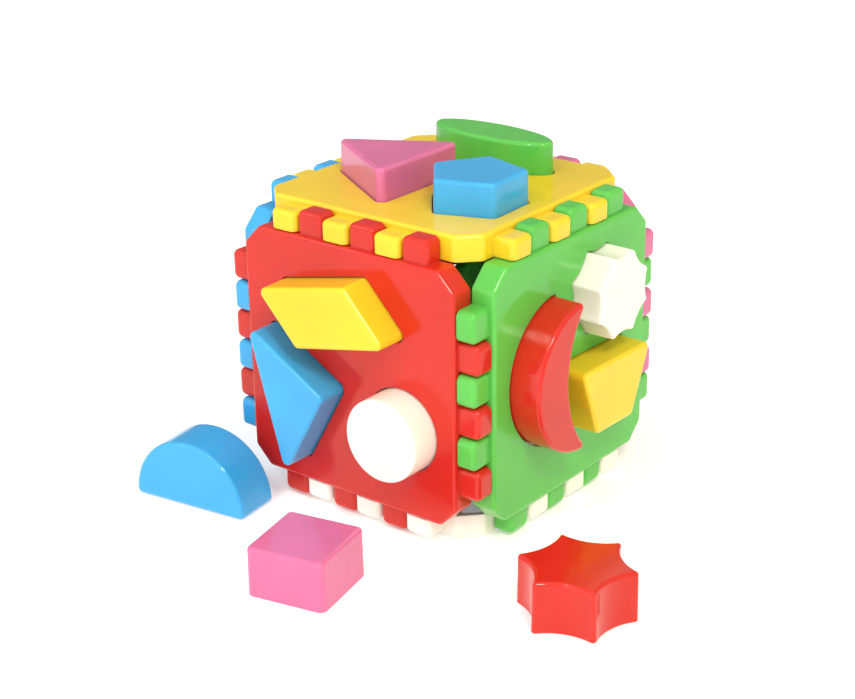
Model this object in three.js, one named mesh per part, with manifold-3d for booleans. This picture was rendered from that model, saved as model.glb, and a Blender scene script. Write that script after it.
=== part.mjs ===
// Shape sorter: six hollow moulded panels interlock into a cube, and each panel has three shaped holes.
// Fifteen hollow blocks stand in the holes of five panels. The bottom panel's three blocks lie on the floor.
// Millimetres, +Z up. The origin is the centre of the bottom panel's outer face, on the floor.
import * as THREE from 'three';
import { mergeVertices } from 'three/addons/utils/BufferGeometryUtils.js';
import Module from 'manifold-3d';

const wasm = await Module();
wasm.setup();

// ---- Driving dimensions ----

const CUBE_SIZE = 124; // across two opposite panels' outer faces
const FACE = CUBE_SIZE / 2; // cube centre to a panel's outer face
const PLATE_HALF = 51.5; // half the width of a panel's raised plate
const CORNER_CUT = 7.75; // leg of the cut corner of a plate
const PLATE_WALL = 2.2; // thickness of a plate's face
const SIDE_WALL = 2; // thickness of a panel's side walls and tabs
const REAR_GAP = 0.2; // keeps two panels' rear edges apart
const PANEL_REAR = PLATE_HALF + REAR_GAP; // cube centre to a panel's rear edge

const TAB_PITCH = 12.7; // width of a tab, and of the gap beside it
const TABS_PER_EDGE = 3;
const TAB_SIDE_GAP = 0.4; // between a tab and the neighbouring panel's tab
const TAB_END = 61; // cube centre to a tab's end
const TAB_FACE = 59.8; // cube centre to a tab's outer surface
const TAB_REAR = PLATE_HALF + 0.3; // a tab's rear face clears the neighbour's side wall

const BLOCK_DEPTH = 20;
const BLOCK_STANDS_OUT = 13; // cap of a block above its panel's outer face
const BLOCK_WALL = 1.8;
const BLOCK_CORNER_RADIUS = 2.3;
const STAR_TIP_RADIUS = 1.2;
const BLOCK_EDGE_BEVEL = 1;
const HOLE_CLEARANCE = 0.5; // between a block and its hole, all round
const SMALLEST_CORNER_RADIUS = 0.6;
const CORNER_STEPS = 3;
const SMOOTH_TURN = THREE.MathUtils.degToRad(30); // a turn below this is part of a curve

const PLASTIC = {
  red: 0xdc2f2c,
  green: 0x4fbf4c,
  blue: 0x3f9fe6,
  yellow: 0xf7cf3c,
  pink: 0xe8649f,
  white: 0xf7f2e4,
};

// ---- Outlines: closed lists of points, counter-clockwise ----

const point = (x, y) => new THREE.Vector2(x, y);

function turned(points, degrees) {
  const angle = THREE.MathUtils.degToRad(degrees);
  return points.map((p) => p.clone().rotateAround(point(0, 0), angle));
}

// Points on an arc, from one angle to another, both ends included.
function arc(centreX, centreY, radius, fromDegrees, toDegrees, steps) {
  const points = [];
  for (let i = 0; i <= steps; i++) {
    const angle = THREE.MathUtils.degToRad(fromDegrees + ((toDegrees - fromDegrees) * i) / steps);
    points.push(point(centreX + radius * Math.cos(angle), centreY + radius * Math.sin(angle)));
  }
  return points;
}

// An arc through two ends that bulges to the right of the way from start to end by the sagitta.
// A negative sagitta gives a hollow. The end point is left out.
function bulge(start, end, sagitta, steps) {
  const way = end.clone().sub(start);
  const chord = way.length();
  const outward = point(way.y, -way.x).divideScalar(chord);
  const radius = (chord * chord) / (8 * sagitta) + sagitta / 2;
  const centre = start.clone().add(end).multiplyScalar(0.5);
  centre.addScaledVector(outward, sagitta - radius);
  const sweep = 4 * Math.atan((2 * sagitta) / chord);
  const points = [];
  for (let i = 0; i < steps; i++) {
    points.push(start.clone().rotateAround(centre, (sweep * i) / steps));
  }
  return points;
}

function regularPolygon(sides, radius) {
  return arc(0, 0, radius, 0, 360 - 360 / sides, sides - 1);
}

function rectangle(width, height) {
  const x = width / 2;
  const y = height / 2;
  return [point(-x, -y), point(x, -y), point(x, y), point(-x, y)];
}

function hollowSidedStar(points, radius, hollow) {
  const tips = regularPolygon(points, radius);
  const steps = 4;
  return tips.flatMap((tip, i) => bulge(tip, tips[(i + 1) % points], -hollow, steps));
}

function ellipse(halfLength, halfWidth, steps) {
  return arc(0, 0, 1, 0, 360 - 360 / steps, steps - 1).map((p) => point(p.x * halfLength, p.y * halfWidth));
}

function parallelogram(longSide, slantSide, degrees) {
  const angle = THREE.MathUtils.degToRad(degrees);
  const along = longSide / 2;
  const slant = point(Math.cos(angle), Math.sin(angle)).multiplyScalar(slantSide / 2);
  return [
    point(-along - slant.x, -slant.y),
    point(along - slant.x, -slant.y),
    point(along + slant.x, slant.y),
    point(-along + slant.x, slant.y),
  ];
}

function trapezoid(longSide, shortSide, height) {
  const y = height / 2;
  return [point(-shortSide / 2, -y), point(shortSide / 2, -y), point(longSide / 2, y), point(-longSide / 2, y)];
}

function rightTriangle(firstLeg, secondLeg) {
  return [point(0, 0), point(firstLeg, 0), point(0, secondLeg)];
}

// Outer edge: a little more than half a circle, open towards +X. Inner edge: a flatter arc through both tips.
function crescent(radius, degreesPastHalf, innerSagitta) {
  const outer = arc(0, 0, radius, 90 - degreesPastHalf, 270 + degreesPastHalf, 16);
  const top = outer[0];
  const bottom = outer.pop();
  return [...outer, ...bulge(bottom, top, -innerSagitta, 10)];
}

function halfRound(width, height) {
  const right = point(width / 2, 0);
  const left = point(-width / 2, 0);
  return [...bulge(right, left, height, 18), left];
}

function quarterRound(radius) {
  return [point(0, 0), ...arc(0, 0, radius, 0, 90, 10)];
}

function cross(size, armWidth) {
  const far = size / 2;
  const near = armWidth / 2;
  const arm = [point(near, -near), point(far, -near), point(far, near)];
  return [0, 90, 180, 270].flatMap((degrees) => turned(arm, degrees));
}

// Two round lobes whose outer tangents run down to the tip.
function heart(lobeRadius, tipDrop) {
  const away = Math.hypot(lobeRadius, tipDrop);
  const toTip = THREE.MathUtils.radToDeg(Math.atan2(-tipDrop, -lobeRadius) + Math.acos(lobeRadius / away));
  const notch = 145;
  const right = arc(lobeRadius * 0.82, 0, lobeRadius, toTip, notch, 12);
  const left = right.map((p) => point(-p.x, p.y)).reverse();
  return [point(0, -tipDrop), ...right, ...left];
}

function clover(lobes, lobeRadius, lobeCentre) {
  const halfStep = 180 / lobes;
  const halfSweep = halfStep + THREE.MathUtils.radToDeg(
    Math.asin((lobeCentre / lobeRadius) * Math.sin(THREE.MathUtils.degToRad(halfStep))));
  const lobe = arc(lobeCentre, 0, lobeRadius, -halfSweep, halfSweep, 8).slice(0, -1);
  return Array.from({ length: lobes }, (_, i) => turned(lobe, 2 * halfStep * i)).flat();
}

// Moves every side of an outline outwards by a distance, and meets the sides again at their corners.
function grown(points, distance) {
  const count = points.length;
  return points.map((here, i) => {
    const before = here.clone().sub(points[(i + count - 1) % count]).normalize();
    const after = points[(i + 1) % count].clone().sub(here).normalize();
    const outward = point(before.y + after.y, -before.x - after.x);
    return here.clone().addScaledVector(outward, distance / (1 + before.dot(after)));
  });
}

// Replaces each real corner by a short arc and keeps the points of a curve.
function rounded(points, radius) {
  const count = points.length;
  return points.flatMap((here, i) => {
    const before = here.clone().sub(points[(i + count - 1) % count]);
    const after = points[(i + 1) % count].clone().sub(here);
    const turn = Math.atan2(before.cross(after), before.dot(after));
    if (Math.abs(turn) < SMOOTH_TURN) return [here];
    const room = 0.45 * Math.min(before.length(), after.length());
    const tangent = Math.min(radius * Math.tan(Math.abs(turn) / 2), room);
    const start = here.clone().addScaledVector(before.normalize(), -tangent);
    const centre = start.clone().addScaledVector(point(-before.y, before.x), tangent / Math.tan(turn / 2));
    return Array.from({ length: CORNER_STEPS + 1 }, (_, step) =>
      start.clone().rotateAround(centre, (turn * step) / CORNER_STEPS));
  });
}

function blockOutline(shape, growth) {
  const cornerRadius = shape.endsWith('star') ? STAR_TIP_RADIUS : BLOCK_CORNER_RADIUS;
  const radius = Math.max(cornerRadius + growth, SMALLEST_CORNER_RADIUS);
  return rounded(grown(BLOCK_SHAPES[shape], growth), radius);
}

// ---- Solids ----

function solidOf(geometry) {
  geometry.deleteAttribute('normal');
  geometry.deleteAttribute('uv');
  const merged = mergeVertices(geometry);
  return new wasm.Manifold(new wasm.Mesh({
    numProp: 3,
    vertProperties: merged.attributes.position.array,
    triVerts: new Uint32Array(merged.index.array),
  }));
}

function prism(points, bottom, top) {
  const settings = { depth: top - bottom, bevelEnabled: false };
  return solidOf(new THREE.ExtrudeGeometry(new THREE.Shape(points), settings).translate(0, 0, bottom));
}

function bevelledPrism(points, bottom, top, bevel) {
  const settings = {
    depth: top - bottom - 2 * bevel,
    bevelThickness: bevel,
    bevelSize: bevel,
    bevelOffset: -bevel,
    bevelSegments: 1,
  };
  return solidOf(new THREE.ExtrudeGeometry(new THREE.Shape(points), settings).translate(0, 0, bottom + bevel));
}

function meshOf(name, solid, colour) {
  const { vertProperties, triVerts } = solid.getMesh();
  const geometry = new THREE.BufferGeometry();
  geometry.setAttribute('position', new THREE.BufferAttribute(vertProperties, 3));
  geometry.setIndex(new THREE.BufferAttribute(triVerts, 1));
  geometry.computeVertexNormals();
  const material = new THREE.MeshStandardMaterial({ color: PLASTIC[colour], roughness: 0.22, metalness: 0 });
  const mesh = new THREE.Mesh(geometry, material);
  mesh.name = name;
  return mesh;
}

// ---- Blocks: the cap's outer face is at z = 0, and the open rear is BLOCK_DEPTH below it ----

const BLOCK_SHAPES = {
  triangle: regularPolygon(3, 29.2),
  pentagon: regularPolygon(5, 20.4),
  oval: ellipse(29.2, 10.4, 28),
  parallelogram: parallelogram(45.7, 28.8, 120.8),
  right_triangle: rightTriangle(45.1, 44.3),
  round: regularPolygon(32, 16.8),
  eight_point_star: hollowSidedStar(8, 18.5, 1.6),
  crescent: crescent(30.6, 3.7, 12.2),
  trapezoid: trapezoid(48.5, 24.9, 28.9),
  half_round: halfRound(53.4, 28),
  square: rectangle(32.5, 32.5),
  six_point_star: hollowSidedStar(6, 23.7, 3.6),
  hexagon: regularPolygon(6, 20),
  heart: heart(10.5, 25),
  cross: cross(38, 14),
  rectangle: rectangle(42, 22),
  quarter_round: quarterRound(35),
  clover: clover(4, 8.5, 9.5),
};

function makeBlock(shape, colour) {
  const shell = bevelledPrism(blockOutline(shape, 0), -BLOCK_DEPTH, 0, BLOCK_EDGE_BEVEL);
  const hollow = prism(blockOutline(shape, -BLOCK_WALL), -BLOCK_DEPTH - 1, -BLOCK_WALL);
  return meshOf(`${shape}_block`, shell.subtract(hollow), colour);
}

// ---- Panels: z is the distance from the cube's centre, outwards ----

const PLATE_OUTLINE = (() => {
  const side = [point(CORNER_CUT - PLATE_HALF, -PLATE_HALF), point(PLATE_HALF - CORNER_CUT, -PLATE_HALF)];
  return [0, 90, 180, 270].flatMap((degrees) => turned(side, degrees));
})();

// The plate's outline with the tabs of all four edges. With an edge below, its tabs start at the left.
const TABBED_OUTLINE = (() => {
  const side = [point(CORNER_CUT - PLATE_HALF, -PLATE_HALF)];
  for (let tab = 0; tab < TABS_PER_EDGE; tab++) {
    const left = (2 * tab - TABS_PER_EDGE) * TAB_PITCH + TAB_SIDE_GAP / 2;
    const right = left + TAB_PITCH - TAB_SIDE_GAP;
    side.push(point(left, -PLATE_HALF), point(left, -TAB_END), point(right, -TAB_END), point(right, -PLATE_HALF));
  }
  side.push(point(PLATE_HALF - CORNER_CUT, -PLATE_HALF));
  return [0, 90, 180, 270].flatMap((degrees) => turned(side, degrees));
})();

function placedOutline(hole, growth) {
  const outline = turned(blockOutline(hole.shape, growth), hole.turn);
  return outline.map((p) => p.add(point(hole.x, hole.y)));
}

// The flat face with its holes, and behind it the rim: the side walls and the tabs.
function makePanel(name, colour, holes) {
  const below = PANEL_REAR - 1;
  const behindPlate = FACE - PLATE_WALL;
  let plate = prism(PLATE_OUTLINE, behindPlate, FACE);
  for (const hole of holes) {
    plate = plate.subtract(prism(placedOutline(hole, HOLE_CLEARANCE), below, FACE + 1));
  }
  const walls = prism(PLATE_OUTLINE, PANEL_REAR, behindPlate);
  const tabs = prism(TABBED_OUTLINE, TAB_REAR, TAB_FACE);
  const wallHollow = prism(grown(PLATE_OUTLINE, -SIDE_WALL), below, FACE);
  const tabHollow = prism(grown(TABBED_OUTLINE, -SIDE_WALL), below, TAB_FACE - SIDE_WALL);
  const rim = walls.add(tabs).subtract(wallHollow).subtract(tabHollow);
  return [meshOf(name, plate, colour), meshOf(`${name}_rim`, rim, colour)];
}

// x, y and turn place each hole on its panel as seen from outside, with x to the right and y up.
const PANELS = [
  {
    name: 'top_panel', colour: 'yellow', tilt: 0, heading: 0,
    holes: [
      { shape: 'triangle', colour: 'pink', x: -16.1, y: -12.7, turn: 179.2 },
      { shape: 'pentagon', colour: 'blue', x: 26.9, y: -15.3, turn: 182.1 },
      { shape: 'oval', colour: 'green', x: -0.3, y: 32.5, turn: -1.3 },
    ],
  },
  {
    name: 'front_panel', colour: 'red', tilt: 90, heading: 0,
    holes: [
      { shape: 'parallelogram', colour: 'yellow', x: -2.6, y: 26.3, turn: 12.4 },
      { shape: 'right_triangle', colour: 'blue', x: -1.9, y: -6.4, turn: 150.4 },
      { shape: 'round', colour: 'white', x: 25.7, y: -16.4, turn: 0 },
    ],
  },
  {
    name: 'right_panel', colour: 'green', tilt: 90, heading: 90,
    holes: [
      { shape: 'eight_point_star', colour: 'white', x: 15.8, y: 25.5, turn: 23 },
      { shape: 'crescent', colour: 'red', x: -10.9, y: 0.9, turn: 1.2 },
      { shape: 'trapezoid', colour: 'yellow', x: 11.9, y: -13.6, turn: -1.2 },
    ],
  },
  {
    name: 'back_panel', colour: 'pink', tilt: 90, heading: 180,
    holes: [
      { shape: 'rectangle', colour: 'white', x: -1, y: 29, turn: -8 },
      { shape: 'quarter_round', colour: 'red', x: -37, y: -34, turn: 0 },
      { shape: 'clover', colour: 'green', x: 29, y: -8, turn: 0 },
    ],
  },
  {
    name: 'left_panel', colour: 'blue', tilt: 90, heading: 270,
    holes: [
      { shape: 'hexagon', colour: 'green', x: -22, y: 21, turn: 0 },
      { shape: 'heart', colour: 'pink', x: 24, y: 22, turn: 0 },
      { shape: 'cross', colour: 'yellow', x: 0, y: -23, turn: 0 },
    ],
  },
  {
    name: 'bottom_panel', colour: 'white', tilt: 180, heading: 0,
    holes: [
      { shape: 'half_round', x: 0, y: -37, turn: 0 },
      { shape: 'square', x: -25, y: 22, turn: 0 },
      { shape: 'six_point_star', x: 23, y: 22, turn: 30 },
    ],
  },
];

// ---- The assembly ----

const shapeSorter = new THREE.Group();

for (const { name, colour, tilt, heading, holes } of PANELS) {
  const side = new THREE.Group();
  side.position.z = FACE;
  side.rotation.set(THREE.MathUtils.degToRad(tilt), 0, THREE.MathUtils.degToRad(heading), 'ZXY');
  side.add(...makePanel(name, colour, holes));
  for (const hole of holes) {
    if (!hole.colour) continue; // an empty hole
    const block = makeBlock(hole.shape, hole.colour);
    block.position.set(hole.x, hole.y, FACE + BLOCK_STANDS_OUT);
    block.rotation.z = THREE.MathUtils.degToRad(hole.turn);
    side.add(block);
  }
  shapeSorter.add(side);
}

// The bottom panel's blocks on the floor: two lie cap up, and the half round stands on its flat side.
const LOOSE_BLOCKS = [
  { shape: 'half_round', colour: 'blue', x: -59.4, y: -93.9, z: 0, tilt: 90, heading: 7.8 },
  { shape: 'square', colour: 'pink', x: 20.2, y: -111.6, z: BLOCK_DEPTH, tilt: 0, heading: 12 },
  { shape: 'six_point_star', colour: 'red', x: 110.5, y: -67.6, z: BLOCK_DEPTH, tilt: 0, heading: 19.4 },
];

for (const { shape, colour, x, y, z, tilt, heading } of LOOSE_BLOCKS) {
  const block = makeBlock(shape, colour);
  block.position.set(x, y, z);
  block.rotation.set(THREE.MathUtils.degToRad(tilt), 0, THREE.MathUtils.degToRad(heading), 'ZXY');
  shapeSorter.add(block);
}

export default shapeSorter;
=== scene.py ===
"""The looks of a shape sorter: six interlocking glossy panels and eighteen hollow blocks.

Every panel and block is moulded anew around its CAD node, with rounded edges, and replaces it.
Outlines and sizes of the mouldings are in millimetres, and MM turns them into the scene's metres.
"""

import math

import bmesh
import bpy
from mathutils import Matrix, Vector


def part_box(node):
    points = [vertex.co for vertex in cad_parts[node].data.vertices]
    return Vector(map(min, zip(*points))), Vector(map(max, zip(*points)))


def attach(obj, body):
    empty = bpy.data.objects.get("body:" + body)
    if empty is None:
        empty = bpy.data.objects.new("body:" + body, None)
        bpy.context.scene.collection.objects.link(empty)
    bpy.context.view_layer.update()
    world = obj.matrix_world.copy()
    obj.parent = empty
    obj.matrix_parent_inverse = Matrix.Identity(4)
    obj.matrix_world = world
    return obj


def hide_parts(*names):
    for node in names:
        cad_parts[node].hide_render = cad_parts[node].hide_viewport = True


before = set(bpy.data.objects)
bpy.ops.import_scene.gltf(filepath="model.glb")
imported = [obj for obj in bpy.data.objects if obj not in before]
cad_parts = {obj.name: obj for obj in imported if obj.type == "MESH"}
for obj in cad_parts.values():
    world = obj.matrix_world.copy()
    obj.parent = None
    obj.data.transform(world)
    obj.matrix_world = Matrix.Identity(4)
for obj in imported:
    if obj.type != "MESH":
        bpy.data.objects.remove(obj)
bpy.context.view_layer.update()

MM = 0.001

# ---- Sizes of the mouldings, in millimetres ----

FACE = 62.0  # cube centre to a panel's outer face
PLATE_HALF = 51.5
CORNER_CUT = 7.75
PLATE_WALL = 2.2
SIDE_WALL = 2.0
PANEL_REAR = PLATE_HALF + 0.2  # just clear of the neighbours' side walls
PLATE_EDGE_RADIUS = 1.5
PLATE_CORNER_RADIUS = 3.0
REAR_EDGE_RADIUS = 0.3

TAB_PITCH = 12.7
TABS_PER_EDGE = 3
TAB_WIDTH = 12.3
TAB_END = 61.0
TAB_FACE = 59.8
TAB_REAR = PLATE_HALF + 0.3
TAB_EDGE_RADIUS = 2.1
TAB_CORNER_RADIUS = 2.7
TAB_ROOT = 4.0  # how far behind the side wall's outer face a tab starts, before the panel is hollowed

BLOCK_DEPTH = 20.0
BLOCK_STANDS_OUT = 13.0
BLOCK_WALL = 1.8
BLOCK_CORNER_RADIUS = 2.6
SHARPER_CORNERS = {"crescent": 2.05, "eight_point_star": 1.3, "six_point_star": 1.3}
BLOCK_CAP_RADIUS = 1.6
BLOCK_RIM_RADIUS = 0.35
BLOCK_DRAFT = 0.2  # a block is this much narrower all round at its cap
HOLE_CLEARANCE = 0.35
HOLE_EDGE_RADIUS = 0.5
HEART_LOBE_PLACE = 0.82  # a lobe's centre from the middle line, as a share of its radius
CUT_BEYOND = 1.0  # how far a cutter reaches past what it cuts

FINE = 4  # steps of a curve, as a multiple of the plainest outline
EDGE_STEPS = 6  # steps round a quarter-round edge
RIM_STEPS = 3
HOLE_EDGE_STEPS = 4
CORNER_STEPS = 8
USABLE_SHARE = 0.9  # of a side by a corner's rounding, and of a corner's radius by an inset
SMOOTH_TURN = math.radians(28)  # a turn below this is part of a curve


# ---- Outlines: lists of 2-D points, counter-clockwise ----


def turned(points, degrees):
    spin = Matrix.Rotation(math.radians(degrees), 2)
    return [spin @ p for p in points]


def arc(x, y, radius, start, end, steps):
    angles = [math.radians(start + (end - start) * i / steps) for i in range(steps + 1)]
    return [Vector((x + radius * math.cos(a), y + radius * math.sin(a))) for a in angles]


def bulge(start, end, sagitta, steps):
    """An arc from start to just before end. It bulges to the right, or hollows if sagitta is negative."""
    way = end - start
    chord = way.length
    outward = Vector((way.y, -way.x)) / chord
    radius = chord * chord / (8 * sagitta) + sagitta / 2
    centre = (start + end) / 2 + outward * (sagitta - radius)
    sweep = 4 * math.atan(2 * sagitta / chord)
    return [centre + Matrix.Rotation(sweep * i / steps, 2) @ (start - centre) for i in range(steps)]


def regular_polygon(sides, radius):
    return arc(0, 0, radius, 0, 360 - 360 / sides, sides - 1)


def rectangle(width, height):
    x, y = width / 2, height / 2
    return [Vector((-x, -y)), Vector((x, -y)), Vector((x, y)), Vector((-x, y))]


def hollow_sided_star(tips, radius, hollow, detail):
    points = regular_polygon(tips, radius)
    star = []
    for i, tip in enumerate(points):
        star += bulge(tip, points[(i + 1) % tips], -hollow, 4 * detail)
    return star


def ellipse(half_length, half_width, steps):
    return [Vector((p.x * half_length, p.y * half_width)) for p in regular_polygon(steps, 1)]


def parallelogram(long_side, slant_side, degrees):
    along = Vector((long_side / 2, 0))
    slant = slant_side / 2 * Vector((math.cos(math.radians(degrees)), math.sin(math.radians(degrees))))
    return [-along - slant, along - slant, along + slant, -along + slant]


def trapezoid(long_side, short_side, height):
    y = height / 2
    corners = [(-short_side / 2, -y), (short_side / 2, -y), (long_side / 2, y), (-long_side / 2, y)]
    return [Vector(c) for c in corners]


def crescent(radius, degrees_past_half, inner_sagitta, detail):
    outer = arc(0, 0, radius, 90 - degrees_past_half, 270 + degrees_past_half, 16 * detail)
    inner = bulge(outer[-1], outer[0], -inner_sagitta, 10 * detail)
    return outer[:-1] + inner


def half_round(width, height, detail):
    right, left = Vector((width / 2, 0)), Vector((-width / 2, 0))
    return bulge(right, left, height, 18 * detail) + [left]


def cross(size, arm_width):
    far, near = size / 2, arm_width / 2
    arm = [Vector((near, -near)), Vector((far, -near)), Vector((far, near))]
    return [p for degrees in (0, 90, 180, 270) for p in turned(arm, degrees)]


def heart(lobe_radius, tip_drop, detail):
    away = math.hypot(lobe_radius, tip_drop)
    to_tip = math.degrees(math.atan2(-tip_drop, -lobe_radius) + math.acos(lobe_radius / away))
    notch = math.degrees(math.acos(-HEART_LOBE_PLACE))
    right = arc(lobe_radius * HEART_LOBE_PLACE, 0, lobe_radius, to_tip, notch, 12 * detail)
    left = [Vector((-p.x, p.y)) for p in reversed(right[:-1])]
    return [Vector((0, -tip_drop))] + right + left


def clover(lobes, lobe_radius, lobe_centre, detail):
    half_step = 180 / lobes
    ratio = lobe_centre / lobe_radius * math.sin(math.radians(half_step))
    half_sweep = half_step + math.degrees(math.asin(ratio))
    lobe = arc(lobe_centre, 0, lobe_radius, -half_sweep, half_sweep, 8 * detail)[:-1]
    return [p for i in range(lobes) for p in turned(lobe, 2 * half_step * i)]


def sharp_outline(shape, detail):
    """The outline of a block before its corners are rounded."""
    outlines = {
        "triangle": lambda: regular_polygon(3, 29.2),
        "pentagon": lambda: regular_polygon(5, 20.4),
        "oval": lambda: ellipse(29.2, 10.4, 28 * detail),
        "parallelogram": lambda: parallelogram(45.7, 28.8, 120.8),
        "right_triangle": lambda: [Vector((0, 0)), Vector((45.1, 0)), Vector((0, 44.3))],
        "round": lambda: regular_polygon(32 * detail, 16.8),
        "eight_point_star": lambda: hollow_sided_star(8, 18.5, 1.6, detail),
        "crescent": lambda: crescent(30.6, 3.7, 12.2, detail),
        "trapezoid": lambda: trapezoid(48.5, 24.9, 28.9),
        "half_round": lambda: half_round(53.4, 28, detail),
        "square": lambda: rectangle(32.5, 32.5),
        "six_point_star": lambda: hollow_sided_star(6, 23.7, 3.6, detail),
        "hexagon": lambda: regular_polygon(6, 20),
        "heart": lambda: heart(10.5, 25, detail),
        "cross": lambda: cross(38, 14),
        "rectangle": lambda: rectangle(42, 22),
        "quarter_round": lambda: [Vector((0, 0))] + arc(0, 0, 35, 0, 90, 10 * detail),
        "clover": lambda: clover(4, 8.5, 9.5, detail),
    }
    return outlines[shape]()


def grown(points, distance):
    """The outline with every side moved outwards by a distance."""
    moved = []
    for i, here in enumerate(points):
        before = (here - points[i - 1]).normalized()
        after = (points[(i + 1) % len(points)] - here).normalized()
        outward = Vector((before.y + after.y, -before.x - after.x))
        moved.append(here + outward * distance / (1 + before.dot(after)))
    return moved


def walked(points, start, step, distance):
    """The point at a distance along an outline from a corner, the way there and the corners passed."""
    count = len(points)
    most = count // 3  # a rounding takes up a third of the outline each way, or less
    passed = 0
    here = points[start]
    while True:
        following = points[(start + step * (passed + 1)) % count]
        way = following - here
        if way.length > distance or passed > most:
            reach = min(distance, way.length * USABLE_SHARE)
            return here + way.normalized() * reach, way.normalized(), passed
        distance -= way.length
        here = following
        passed += 1


def rounded(points, radius):
    """The outline with every real corner rounded by an arc, and the points of its curves kept.

    Each arc is a rational quadratic curve between the two points where it touches the sides.
    """
    count = len(points)
    dropped = set()
    arcs = {}
    for i, here in enumerate(points):
        before = here - points[i - 1]
        after = points[(i + 1) % count] - here
        turn = math.atan2(before.x * after.y - before.y * after.x, before.dot(after))
        if abs(turn) < SMOOTH_TURN:
            continue
        tangent = radius * math.tan(abs(turn) / 2)
        start, back, passed_back = walked(points, i, -1, tangent)
        end, ahead, passed_ahead = walked(points, i, 1, tangent)
        across = back.x * ahead.y - back.y * ahead.x
        gap = end - start
        reach = (gap.x * ahead.y - gap.y * ahead.x) / across
        corner = start + back * reach
        weight = math.sqrt(max(0.0, (1 + (-back).dot(ahead)) / 2))
        arcs[i] = []
        for k in range(CORNER_STEPS + 1):
            t = k / CORNER_STEPS
            shares = ((1 - t) ** 2, 2 * weight * t * (1 - t), t * t)
            total = sum(shares)
            arcs[i].append((start * shares[0] + corner * shares[1] + end * shares[2]) / total)
        dropped.update((i - k) % count for k in range(passed_back + 1))
        dropped.update((i + k) % count for k in range(passed_ahead + 1))
    result = []
    for i, here in enumerate(points):
        if i in arcs:
            result += arcs[i]
        elif i not in dropped:
            result.append(here)
    return result


def shrunk(points, distance, sharpest):
    """The outline moved inwards, and scaled beyond its sharpest corner's radius, so none folds over."""
    moved = min(distance, USABLE_SHARE * sharpest)
    across = min(p.length for p in points)
    return [p * (1 - (distance - moved) / across) for p in grown(points, -moved)]


# ---- Meshes ----


def new_object(name, mesh):
    piece = bpy.data.objects.new(name, mesh)
    bpy.context.scene.collection.objects.link(piece)
    return piece


def loft(rings):
    """A closed mesh through rings, each a list of 2-D points and a height. Its two ends are filled."""
    form = bmesh.new()
    loops = []
    for points, height in rings:
        loops.append([form.verts.new((p.x * MM, p.y * MM, height * MM)) for p in points])
    count = len(loops[0])
    for lower, upper in zip(loops, loops[1:]):
        for i in range(count):
            j = (i + 1) % count
            form.faces.new((lower[i], lower[j], upper[j], upper[i]))
    form.faces.new(list(reversed(loops[0])))
    form.faces.new(loops[-1])
    return form


def finished(form, name):
    bmesh.ops.recalc_face_normals(form, faces=form.faces)
    mesh = bpy.data.meshes.new(name)
    form.to_mesh(mesh)
    form.free()
    return mesh


def joined(forms, name):
    """One mesh that holds several lofts side by side."""
    whole = bmesh.new()
    for form in forms:
        part = finished(form, "part")
        whole.from_mesh(part)
        bpy.data.meshes.remove(part)
    return finished(whole, name)


def edge_profile(radius, steps=EDGE_STEPS):
    """Inset and height below the face, from the side up to the face, of a rounded edge."""
    angles = [math.pi / 2 * i / steps for i in range(steps + 1)]
    return [(radius * (1 - math.cos(a)), radius * (1 - math.sin(a))) for a in angles]


def slab(points, bottom, top, top_radius, bottom_radius):
    """A closed slab of an outline with rounded edges at its top and bottom."""
    lower_edge = reversed(edge_profile(bottom_radius))
    rings = [(grown(points, -inset), bottom + drop) for inset, drop in lower_edge]
    rings += [(grown(points, -inset), top - drop) for inset, drop in edge_profile(top_radius)]
    return loft(rings)


def prism(points, bottom, top):
    return loft([(points, bottom), (points, top)])


def combined(name, base, steps):
    """The base mesh after a list of booleans, each an operation and a mesh."""
    piece = new_object(name, base)
    tools = []
    for operation, mesh in steps:
        tool = new_object(mesh.name, mesh)
        modifier = piece.modifiers.new(operation, "BOOLEAN")
        modifier.operation = operation
        modifier.solver = "MANIFOLD"
        modifier.object = tool
        tools.append(tool)
    bpy.context.view_layer.update()
    evaluated = piece.evaluated_get(bpy.context.evaluated_depsgraph_get())
    mesh = bpy.data.meshes.new_from_object(evaluated)
    bpy.data.objects.remove(piece)
    for tool in tools:
        bpy.data.objects.remove(tool)
    return mesh


def smoothed(piece, sharp_degrees=35):
    """Smooth shading that keeps flat faces flat and sharp creases sharp."""
    piece.data.shade_smooth()
    piece.data.set_sharp_from_angle(angle=math.radians(sharp_degrees))
    normals = piece.modifiers.new("flat_faces", "WEIGHTED_NORMAL")
    normals.keep_sharp = True


# ---- Moulded plastic ----

# Linear base colours: the plastic's own colour under plain white light.
PLASTIC = {
    "red": (0.57, 0.020, 0.011),
    "green": (0.10, 0.48, 0.072),
    "blue": (0.045, 0.365, 0.74),
    "yellow": (0.82, 0.565, 0.022),
    "pink": (0.62, 0.145, 0.31),
    "white": (0.93, 0.90, 0.81),
}

# Noises: scale in cycles per metre, detail, and roughness where it isn't the usual one.
CLOUDS = (38.0, 3.0)
SMEARS = (70.0, 4.0, 0.6)
RIPPLES = (55.0, 1.0)
GRAIN = (900.0, 2.0)

CLOUD_SHADES = (0.93, 1.05)  # darkest and lightest, as shares of the base colour
RIPPLE_BUMP = (0.06, 0.0015)  # strength, and height in metres
GRAIN_BUMP = (0.02, 0.0002)

ROUGHNESS = (0.11, 0.17)  # between smears and in them
WORN_ROUGHNESS = 0.32
# Rounded edges are painted paler: partly wear, partly a painted highlight where light glints on them.
WEAR_AND_HIGHLIGHT_PALENESS = 0.12
WEAR_AND_HIGHLIGHT_WIDTH = 0.0006  # how far from an edge its wear and painted highlight reach, in metres
WEAR_AND_HIGHLIGHT_SHARE = 0.6  # the most that wear and the painted highlight cover
WEAR_AND_HIGHLIGHT_RANGE = (0.985, 0.90)  # wear and the painted highlight grow while the normal's agreement with its surroundings falls

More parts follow.
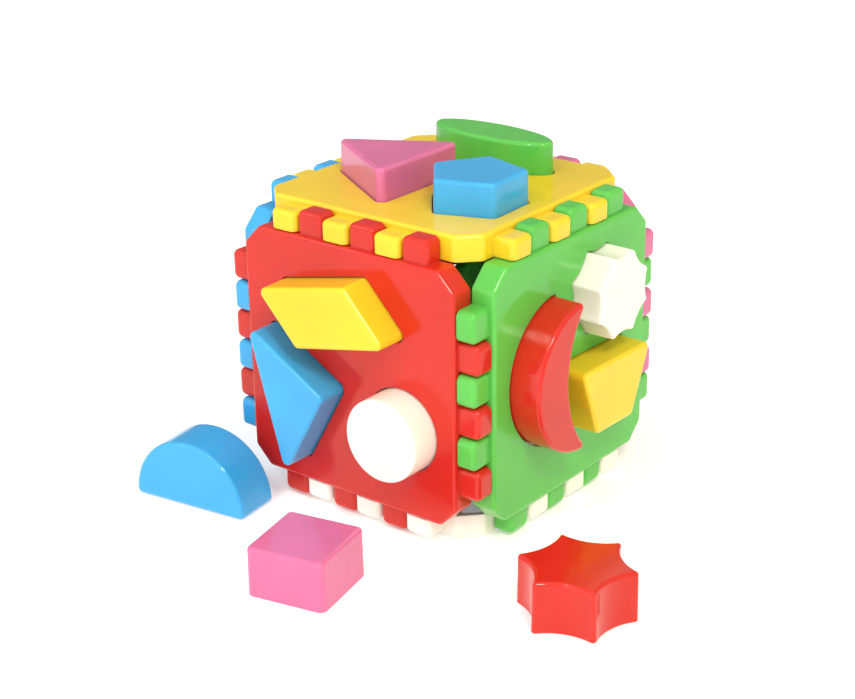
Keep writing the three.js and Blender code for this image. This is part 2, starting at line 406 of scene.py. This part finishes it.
PLASTIC_IOR = 1.49
SPECULAR_LEVEL = 0.30
COAT_WEIGHT = 0.2  # the sharp part of the gloss
COAT_ROUGHNESS = 0.05
TRANSLUCENCE = 0.35
LIGHT_REACH = 0.006  # how far light soaks through the plastic, in metres


class Nodes:
    """Short calls to add and join the nodes of a material."""

    def __init__(self, material):
        self.tree = material.node_tree
        self.shader = self.tree.nodes["Principled BSDF"]

    def add(self, kind, **settings):
        node = self.tree.nodes.new(kind)
        for name, value in settings.items():
            setattr(node, name, value)
        return node

    def link(self, source, target):
        self.tree.links.new(source, target)

    def noise(self, where, scale, detail, roughness=0.5):
        node = self.add("ShaderNodeTexNoise")
        self.link(where, node.inputs["Vector"])
        node.inputs["Scale"].default_value = scale
        node.inputs["Detail"].default_value = detail
        node.inputs["Roughness"].default_value = roughness
        return node.outputs["Fac"]

    def remap(self, value, low, high, from_low=0.3, from_high=0.7):
        """Maps a range to another. A noise seldom leaves the range that is given here."""
        node = self.add("ShaderNodeMapRange")
        self.link(value, node.inputs["Value"])
        node.inputs["From Min"].default_value = from_low
        node.inputs["From Max"].default_value = from_high
        node.inputs["To Min"].default_value = low
        node.inputs["To Max"].default_value = high
        return node.outputs["Result"]

    def mix(self, kind, share, first, second):
        """Blends from a socket to a constant as the share grows."""
        node = self.add("ShaderNodeMix", data_type=kind)
        self.link(share, node.inputs["Factor"])
        self.link(first, node.inputs["A"])
        node.inputs["B"].default_value = second
        return node.outputs["Result"]

    def bump(self, height, strength, distance):
        node = self.add("ShaderNodeBump")
        node.inputs["Strength"].default_value = strength
        node.inputs["Distance"].default_value = distance
        self.link(height, node.inputs["Height"])
        return node

    def edges(self):
        """Grows from zero on flat faces to its most on tightly rounded edges."""
        softened = self.add("ShaderNodeBevel", samples=3)
        softened.inputs["Radius"].default_value = WEAR_AND_HIGHLIGHT_WIDTH
        agreement = self.add("ShaderNodeVectorMath", operation="DOT_PRODUCT")
        self.link(softened.outputs["Normal"], agreement.inputs[0])
        self.link(self.add("ShaderNodeNewGeometry").outputs["Normal"], agreement.inputs[1])
        return self.remap(agreement.outputs["Value"], 0.0, WEAR_AND_HIGHLIGHT_SHARE, *WEAR_AND_HIGHLIGHT_RANGE)


def plastic(colour):
    """Glossy moulded plastic: cloudy colour, uneven gloss, fine grain, soft ripples, and edges that are
    worn rougher and painted paler, partly as wear and partly as a painted highlight.
    """
    material = bpy.data.materials.new(colour + "_moulded_plastic")
    material.use_nodes = True
    nodes = Nodes(material)
    shader = nodes.shader
    where = nodes.add("ShaderNodeTexCoord").outputs["Object"]
    edge = nodes.edges()

    base = PLASTIC[colour]
    darkest, lightest = CLOUD_SHADES
    cloudy = nodes.add("ShaderNodeMix", data_type="RGBA")
    cloudy.inputs["A"].default_value = (*[c * darkest for c in base], 1)
    cloudy.inputs["B"].default_value = (*[min(1.0, c * lightest) for c in base], 1)
    nodes.link(nodes.remap(nodes.noise(where, *CLOUDS), 0.0, 1.0), cloudy.inputs["Factor"])
    # Paler edges: partly wear, partly a painted highlight on the rounded edges.
    pale_worn_and_highlit = (*[c + (1 - c) * WEAR_AND_HIGHLIGHT_PALENESS for c in base], 1)
    colour_worn_and_highlit = nodes.mix("RGBA", edge, cloudy.outputs["Result"], pale_worn_and_highlit)
    nodes.link(colour_worn_and_highlit, shader.inputs["Base Color"])

    gloss = nodes.remap(nodes.noise(where, *SMEARS), *ROUGHNESS)
    worn_gloss = nodes.mix("FLOAT", edge, gloss, WORN_ROUGHNESS)
    nodes.link(worn_gloss, shader.inputs["Roughness"])

    ripples = nodes.bump(nodes.noise(where, *RIPPLES), *RIPPLE_BUMP)
    grain = nodes.bump(nodes.noise(where, *GRAIN), *GRAIN_BUMP)
    nodes.link(ripples.outputs["Normal"], grain.inputs["Normal"])
    nodes.link(grain.outputs["Normal"], shader.inputs["Normal"])

    shader.inputs["IOR"].default_value = PLASTIC_IOR
    shader.inputs["Specular IOR Level"].default_value = SPECULAR_LEVEL
    shader.inputs["Coat Weight"].default_value = COAT_WEIGHT
    shader.inputs["Coat Roughness"].default_value = COAT_ROUGHNESS
    shader.inputs["Subsurface Weight"].default_value = TRANSLUCENCE
    shader.inputs["Subsurface Radius"].default_value = (1.0, 1.0, 1.0)
    shader.inputs["Subsurface Scale"].default_value = LIGHT_REACH
    shader.inputs["Metallic"].default_value = 0.0
    return material


MATERIALS = {colour: plastic(colour) for colour in PLASTIC}


def dress(piece, colour, body, nodes):
    piece.data.materials.clear()
    piece.data.materials.append(MATERIALS[colour])
    smoothed(piece)
    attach(piece, body)
    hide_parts(*nodes)


# ---- Blocks ----


def block_mesh(shape, name, turn):
    """A hollow block of a turned outline. Its cap is at z = 0 and its open rear below."""
    radius = SHARPER_CORNERS.get(shape, BLOCK_CORNER_RADIUS)
    outline = turned(rounded(sharp_outline(shape, FINE), radius), turn)
    rim = edge_profile(BLOCK_RIM_RADIUS, RIM_STEPS)
    section = [(BLOCK_WALL, -BLOCK_WALL), (BLOCK_WALL, BLOCK_RIM_RADIUS - BLOCK_DEPTH)]
    section += [(BLOCK_WALL - inset, drop - BLOCK_DEPTH) for inset, drop in rim[1:]]
    section += [(inset, drop - BLOCK_DEPTH) for inset, drop in reversed(rim)]
    section += [(BLOCK_DRAFT + inset, -drop) for inset, drop in edge_profile(BLOCK_CAP_RADIUS)]
    return finished(loft([(shrunk(outline, inset, radius), height) for inset, height in section]), name)


def outward(heading, tilt):
    """The turn from a panel's own axes, x right, y up and z out, to the row's axes."""
    return Matrix.Rotation(math.radians(heading), 3, "Z") @ Matrix.Rotation(math.radians(tilt), 3, "X")


def lay(piece, turn, node):
    """Moves a loose block so that its turned box lies in the middle of its CAD node's box, caps flush."""
    low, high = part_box(node)
    middle = (low + high) / 2
    out = turn @ Vector((0, 0, 1))
    reach = sum(abs(out[i]) * (high[i] - low[i]) / 2 for i in range(3))
    piece.data.transform(turn.to_4x4())
    corners = [v.co for v in piece.data.vertices]
    own_low = Vector([min(c[i] for c in corners) for i in range(3)])
    own_high = Vector([max(c[i] for c in corners) for i in range(3)])
    own_reach = sum(abs(out[i]) * (own_high[i] - own_low[i]) / 2 for i in range(3))
    piece.location = middle - (own_low + own_high) / 2 + out * (reach - own_reach)


def seat(piece, turn, x, y):
    """Moves a block into its hole, with x to the right and y up on its panel."""
    piece.data.transform(turn.to_4x4() @ Matrix.Translation(Vector((x, y, FACE + BLOCK_STANDS_OUT)) * MM))
    piece.location = (0, 0, FACE * MM)


def make_block(shape, colour, degrees, heading, tilt, hole=None):
    """A block in its hole, or a loose one without a hole."""
    node = shape + "_block"
    piece = new_object(node + "_moulding", block_mesh(shape, node, degrees))
    if hole:
        seat(piece, outward(heading, tilt), *hole)
    else:
        lay(piece, outward(heading, tilt), node)
    dress(piece, colour, node, (node,))


# ---- Panels, in their own axes: z is the distance from the cube's centre, outwards ----


def plate_outline(inset=0.0):
    half = PLATE_HALF - inset
    cut = CORNER_CUT - inset * (2 - math.sqrt(2))
    side = [Vector((cut - half, -half)), Vector((half - cut, -half))]
    return [p for degrees in (0, 90, 180, 270) for p in turned(side, degrees)]


def tab_places():
    """The middle of each tab along its edge, with the edge below: every second of six places."""
    return [(2 * tab - TABS_PER_EDGE + 0.5) * TAB_PITCH for tab in range(TABS_PER_EDGE)]


def tab_outlines(width, root, end):
    """Every tab of a panel, or its hollow, as a rectangle from its root to its end."""
    outlines = []
    for degrees in (0, 90, 180, 270):
        for middle in tab_places():
            box = [Vector((middle + p.x, p.y - (root + end) / 2)) for p in rectangle(width, end - root)]
            outlines.append(turned(box, degrees))
    return outlines


def hole_cutter(outline):
    """Cuts a hole right through a plate and rounds its outer edge."""
    flare = grown(outline, HOLE_EDGE_RADIUS)
    rings = [(outline, PANEL_REAR - 2 * CUT_BEYOND)]
    edge = edge_profile(HOLE_EDGE_RADIUS, HOLE_EDGE_STEPS)
    rings += [(grown(outline, inset), FACE - drop) for inset, drop in edge]
    rings.append((flare, FACE + CUT_BEYOND))
    return loft(rings)


def hole_outline(hole):
    """A block's outline with its clearance all round, at its place on the panel."""
    shape, degrees, x, y = hole
    radius = SHARPER_CORNERS.get(shape, BLOCK_CORNER_RADIUS) + HOLE_CLEARANCE
    outline = rounded(grown(sharp_outline(shape, FINE), HOLE_CLEARANCE), radius)
    return [p + Vector((x, y)) for p in turned(outline, degrees)]


def panel_mesh(name, holes):
    """A raised plate with tabs on its four edges, hollow behind, and with three holes."""
    outline = rounded(plate_outline(), PLATE_CORNER_RADIUS)
    plate = slab(outline, PANEL_REAR, FACE, PLATE_EDGE_RADIUS, REAR_EDGE_RADIUS)
    tabs = [
        slab(rounded(tab, TAB_CORNER_RADIUS), TAB_REAR, TAB_FACE, TAB_EDGE_RADIUS, REAR_EDGE_RADIUS)
        for tab in tab_outlines(TAB_WIDTH, PLATE_HALF - TAB_ROOT, TAB_END)
    ]
    below = PANEL_REAR - CUT_BEYOND
    hollow = prism(plate_outline(SIDE_WALL), below, FACE - PLATE_WALL)
    inner_width = TAB_WIDTH - 2 * SIDE_WALL
    tab_hollows = [
        prism(tab, below, TAB_FACE - SIDE_WALL)
        for tab in tab_outlines(inner_width, PLATE_HALF - 2 * SIDE_WALL, TAB_END - SIDE_WALL)
    ]
    cutters = [hole_cutter(hole_outline(hole)) for hole in holes]
    return combined(
        name,
        finished(plate, name),
        [
            ("UNION", joined(tabs, "tabs")),
            ("DIFFERENCE", finished(hollow, "hollow")),
            ("DIFFERENCE", joined(tab_hollows, "tab_hollows")),
            ("DIFFERENCE", joined(cutters, "holes")),
        ],
    )


def make_panel(name, colour, heading, tilt, holes):
    piece = new_object(name + "_moulding", panel_mesh(name, holes))
    piece.data.transform(outward(heading, tilt).to_4x4())
    piece.location = (0, 0, FACE * MM)
    dress(piece, colour, name, (name, name + "_rim"))


# ---- The object ----

# Each panel has a colour, a heading, a tilt and three holes. Each hole has a shape, its block's colour,
# a turn, and a place on the panel as seen from outside. The white panel's blocks lie on the floor.
PANELS = {
    "top_panel": ("yellow", 0, 0, [
        ("triangle", "pink", 179.2, -16.1, -12.7),
        ("pentagon", "blue", 182.1, 26.9, -15.3),
        ("oval", "green", -1.3, -0.3, 32.5),
    ]),
    "front_panel": ("red", 0, 90, [
        ("parallelogram", "yellow", 12.4, -2.6, 26.3),
        ("right_triangle", "blue", 150.4, -1.9, -6.4),
        ("round", "white", 0, 25.7, -16.4),
    ]),
    "right_panel": ("green", 90, 90, [
        ("eight_point_star", "white", 23, 15.8, 25.5),
        ("crescent", "red", 1.2, -10.9, 0.9),
        ("trapezoid", "yellow", -1.2, 11.9, -13.6),
    ]),
    "back_panel": ("pink", 180, 90, [
        ("rectangle", "white", -8, -1.0, 29.0),
        ("quarter_round", "red", 0, -37.0, -34.0),
        ("clover", "green", 0, 29.0, -8.0),
    ]),
    "left_panel": ("blue", 270, 90, [
        ("hexagon", "green", 0, -22.0, 21.0),
        ("heart", "pink", 0, 24.0, 22.0),
        ("cross", "yellow", 0, 0.0, -23.0),
    ]),
    "bottom_panel": ("white", 0, 180, [
        ("half_round", None, 0, 0.0, -37.0),
        ("square", None, 0, -25.0, 22.0),
        ("six_point_star", None, 30, 23.0, 22.0),
    ]),
}

for panel, (panel_colour, heading, tilt, holes) in PANELS.items():
    cut_holes = [(shape, turn, x, y) for shape, _, turn, x, y in holes]
    make_panel(panel, panel_colour, heading, tilt, cut_holes)
    for shape, colour, turn, x, y in holes:
        if colour:
            make_block(shape, colour, turn, heading, tilt, (x, y))

# Loose blocks: shape, colour, turn of the outline, heading and tilt of the block.
for shape, colour, turn, heading, tilt in (
    ("half_round", "blue", 0, 7.8, 90),
    ("square", "pink", 12, 0, 0),
    ("six_point_star", "red", 19.4, 0, 0),
):
    make_block(shape, colour, turn, heading, tilt)


# ---- Floor, camera and light ----

CUBE_CENTRE = Vector((0, 0, FACE * MM))


def direction(azimuth, elevation):
    """From the cube towards a viewer or a lamp. Azimuth 0 faces the red panel, and 90 the green one."""
    a, e = math.radians(azimuth), math.radians(elevation)
    return Vector((math.sin(a) * math.cos(e), -math.cos(a) * math.cos(e), math.sin(e)))


FLOOR_HALF = 4.0
FLOOR_DROP = 0.0002  # keeps the floor off the faces that stand on it
FLOOR_WHITE = (0.95, 0.95, 0.95, 1)
FLOOR_ROUGHNESS = 0.9
FLOOR_SPECULAR_LEVEL = 0.1
FLOOR_GLOW = 0.25  # keeps the floor white under the object


def make_floor():
    form = bmesh.new()
    corners = [form.verts.new((p.x, p.y, 0)) for p in rectangle(2 * FLOOR_HALF, 2 * FLOOR_HALF)]
    form.faces.new(corners)
    floor = new_object("floor", finished(form, "floor"))
    floor.location.z = -FLOOR_DROP
    material = bpy.data.materials.new("pale_floor")
    material.use_nodes = True
    shader = material.node_tree.nodes["Principled BSDF"]
    shader.inputs["Base Color"].default_value = FLOOR_WHITE
    shader.inputs["Roughness"].default_value = FLOOR_ROUGHNESS
    shader.inputs["Specular IOR Level"].default_value = FLOOR_SPECULAR_LEVEL
    shader.inputs["Emission Color"].default_value = (1, 1, 1, 1)
    shader.inputs["Emission Strength"].default_value = FLOOR_GLOW
    floor.data.materials.append(material)


CAMERA_AZIMUTH = 38.67
CAMERA_ELEVATION = 22.65
CAMERA_ROLL = -0.90
CAMERA_DISTANCE = 0.7349
CAMERA_SIDESTEP = (-0.0079, -0.00955)  # right and up, off the line through the cube's centre
CAMERA_LENS = 75.84
SENSOR_WIDTH = 36.0
NEAREST_SEEN = 0.01


def make_camera():
    back = direction(CAMERA_AZIMUTH, CAMERA_ELEVATION)
    right = Vector((math.cos(math.radians(CAMERA_AZIMUTH)), math.sin(math.radians(CAMERA_AZIMUTH)), 0))
    axes = Matrix((right, back.cross(right), back)).transposed()
    axes = axes @ Matrix.Rotation(math.radians(CAMERA_ROLL), 3, "Z")
    data = bpy.data.cameras.new("camera")
    data.lens = CAMERA_LENS
    data.sensor_width = SENSOR_WIDTH
    data.clip_start = NEAREST_SEEN
    camera = new_object("camera", data)
    aside = axes @ Vector((*CAMERA_SIDESTEP, 0))
    camera.matrix_world = Matrix.Translation(CUBE_CENTRE + back * CAMERA_DISTANCE + aside) @ axes.to_4x4()
    bpy.context.scene.camera = camera


def make_softbox(name, azimuth, elevation, distance, width, height, power, tint):
    """A rectangular lamp that faces the cube. Power is in watts."""
    data = bpy.data.lights.new(name, "AREA")
    data.shape = "RECTANGLE"
    data.size = width
    data.size_y = height
    data.energy = power
    data.color = tint
    lamp = new_object(name, data)
    away = direction(azimuth, elevation)
    lamp.location = CUBE_CENTRE + away * distance
    lamp.rotation_euler = away.to_track_quat("Z", "Y").to_euler()


# A white room, and each side of it that differs: the way it lies, and its colour.
ROOM_WHITE = (1.04, 1.04, 1.04)
ROOM_SIDES = (
    ((0.92, 0.38, 0.1), (0.96, 0.83, 0.56)),  # warm, beyond the green panel
    ((-0.62, 0.78, 0.0), (0.27, 0.28, 0.29)),  # dim, behind the cube
)
SIDE_BLEND = (0.15, 0.85)  # a side fades in while the cosine of the angle to it grows


def make_room():
    """The world: white, and blended into each of the room's sides by direction."""
    world = bpy.data.worlds.new("white_studio")
    world.use_nodes = True
    nodes = world.node_tree.nodes
    links = world.node_tree.links
    way = nodes.new("ShaderNodeTexCoord").outputs["Generated"]
    before = None
    for side, colour in ROOM_SIDES:
        toward = nodes.new("ShaderNodeVectorMath")
        toward.operation = "DOT_PRODUCT"
        links.new(way, toward.inputs[0])
        toward.inputs[1].default_value = Vector(side).normalized()
        share = nodes.new("ShaderNodeMapRange")
        share.interpolation_type = "SMOOTHSTEP"
        share.inputs["From Min"].default_value, share.inputs["From Max"].default_value = SIDE_BLEND
        links.new(toward.outputs["Value"], share.inputs["Value"])
        mix = nodes.new("ShaderNodeMix")
        mix.data_type = "RGBA"
        links.new(share.outputs["Result"], mix.inputs["Factor"])
        mix.inputs["A"].default_value = (*ROOM_WHITE, 1)
        mix.inputs["B"].default_value = (*colour, 1)
        if before:
            links.new(before, mix.inputs["A"])
        before = mix.outputs["Result"]
    links.new(before, nodes["Background"].inputs["Color"])
    bpy.context.scene.world = world


# Each lamp's azimuth, elevation, distance, width, height, power and tint.
LAMPS = {
    "front_fill": (-8, 12, 1.6, 1.4, 1.0, 4.2, (1, 1, 1)),
    "glint": (54, 47, 1.2, 0.22, 0.22, 6.3, (1.0, 0.94, 0.80)),
    "high_front": (6, 49, 1.2, 0.12, 0.12, 1.5, (1, 1, 1)),
    "window": (-45, 31, 1.4, 0.2, 0.2, 0.6, (1, 1, 1)),
}


def make_light():
    make_room()
    bpy.context.scene.view_settings.view_transform = "Standard"
    for name, settings in LAMPS.items():
        make_softbox(name, *settings)


make_floor()
make_camera()
make_light()
